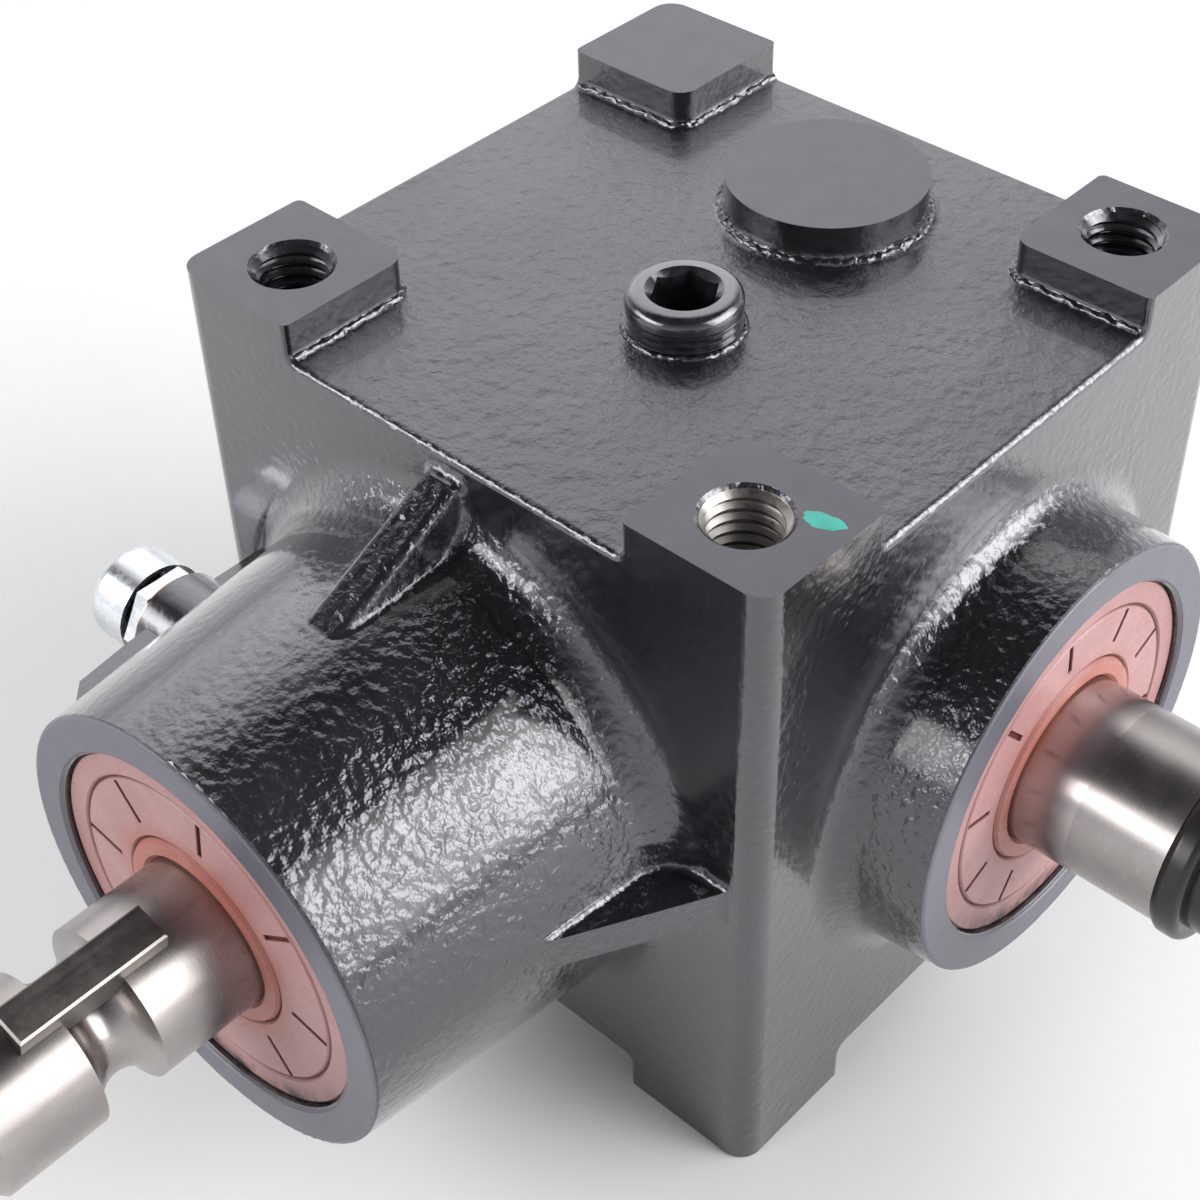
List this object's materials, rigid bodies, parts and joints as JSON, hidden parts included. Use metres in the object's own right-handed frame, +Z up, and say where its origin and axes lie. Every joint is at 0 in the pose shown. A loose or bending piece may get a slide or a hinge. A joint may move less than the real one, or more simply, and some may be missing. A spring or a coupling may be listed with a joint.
{
  "type": "mower deck gearbox",
  "caption": "Right-angle bevel gearbox for a mower deck: cast box with a long keyed input snout, a side output shaft and tapped corner pads.",
  "frame": {"origin": "centre of the bottom bolt pattern, on the plane of the bottom pads", "axes": "+Z up through the box, +X along the output shaft, -Y along the input shaft"},
  "size_m": [0.1953, 0.2124, 0.124],
  "materials": {
    "casting": "gloss paint over a rough casting",
    "painted_plug": "gloss paint",
    "zinc": "bright zinc plate",
    "copper": "soft copper",
    "seal_rubber": "matte",
    "ground_steel": "ground",
    "key_steel": "dark bright-drawn steel",
    "gear_steel": "case hardened",
    "cage_steel": "pressed steel",
    "bearing_steel": "polished",
    "black_cap": "soft gloss",
    "plain_steel": "turned",
    "spring_steel": "blued"
  },
  "bodies": {
    "housing": {"housing": "casting", "fill_plug": "painted_plug", "vent_body": "zinc", "vent_cap": "zinc", "vent_washer": "copper", "input_bore_ring": "spring_steel", "input_shim": "plain_steel", "input_seal": "seal_rubber", "output_bore_ring": "spring_steel", "output_shim": "plain_steel", "output_seal": "seal_rubber", "front_bearing_outer_ring": "bearing_steel", "rear_bearing_outer_ring": "bearing_steel", "outer_bearing_outer_ring": "bearing_steel", "tail_bearing_outer_ring": "bearing_steel"},
    "input": {"input_shaft": "ground_steel", "input_key": "key_steel", "input_gear": "gear_steel", "input_gear_key": "key_steel", "input_gear_shim": "plain_steel", "input_gear_ring": "spring_steel", "input_spacer": "plain_steel", "input_shaft_ring": "spring_steel", "rear_bearing_inner_ring": "bearing_steel", "front_bearing_inner_ring": "bearing_steel"},
    "output": {"output_shaft": "ground_steel", "output_gear": "gear_steel", "output_gear_key": "key_steel", "output_gear_shim": "plain_steel", "outer_bearing_inner_ring": "bearing_steel", "tail_bearing_inner_ring": "bearing_steel"},
    "end_cap": {"shaft_end_cap": "black_cap"},
    "front_bearing_set": {"front_bearing_cage": "cage_steel", "front_bearing_balls": "bearing_steel"},
    "rear_bearing_set": {"rear_bearing_cage": "cage_steel", "rear_bearing_balls": "bearing_steel"},
    "outer_bearing_set": {"outer_bearing_cage": "cage_steel", "outer_bearing_balls": "bearing_steel"},
    "tail_bearing_set": {"tail_bearing_cage": "cage_steel", "tail_bearing_balls": "bearing_steel"}
  },
  "joints": [
    {"name": "output_turn", "type": "hinge", "parent": "housing", "child": "output", "pos_m": [0, 0, 0.062], "axis": [1, 0, 0], "continuous": true},
    {"name": "input_turn", "type": "hinge", "parent": "housing", "child": "input", "pos_m": [0, 0, 0.062], "axis": [0, -1, 0], "continuous": true},
    {"name": "cap_pull", "type": "slide", "parent": "output", "child": "end_cap", "axis": [1, 0, 0], "range_m": [0, 0.03]},
    {"name": "front_bearing_roll", "type": "hinge", "parent": "housing", "child": "front_bearing_set", "pos_m": [0, 0, 0.062], "axis": [0, -1, 0], "continuous": true},
    {"name": "rear_bearing_roll", "type": "hinge", "parent": "housing", "child": "rear_bearing_set", "pos_m": [0, 0, 0.062], "axis": [0, -1, 0], "continuous": true},
    {"name": "outer_bearing_roll", "type": "hinge", "parent": "housing", "child": "outer_bearing_set", "pos_m": [0, 0, 0.062], "axis": [1, 0, 0], "continuous": true},
    {"name": "tail_bearing_roll", "type": "hinge", "parent": "housing", "child": "tail_bearing_set", "pos_m": [0, 0, 0.062], "axis": [1, 0, 0], "continuous": true}
  ],
  "couplings": [
    {"joint": "input_turn", "follows": "output_turn", "ratio": 1},
    {"joint": "front_bearing_roll", "follows": "output_turn", "ratio": 0.39647},
    {"joint": "rear_bearing_roll", "follows": "output_turn", "ratio": 0.39647},
    {"joint": "outer_bearing_roll", "follows": "output_turn", "ratio": 0.39647},
    {"joint": "tail_bearing_roll", "follows": "output_turn", "ratio": 0.36782}
  ]
}
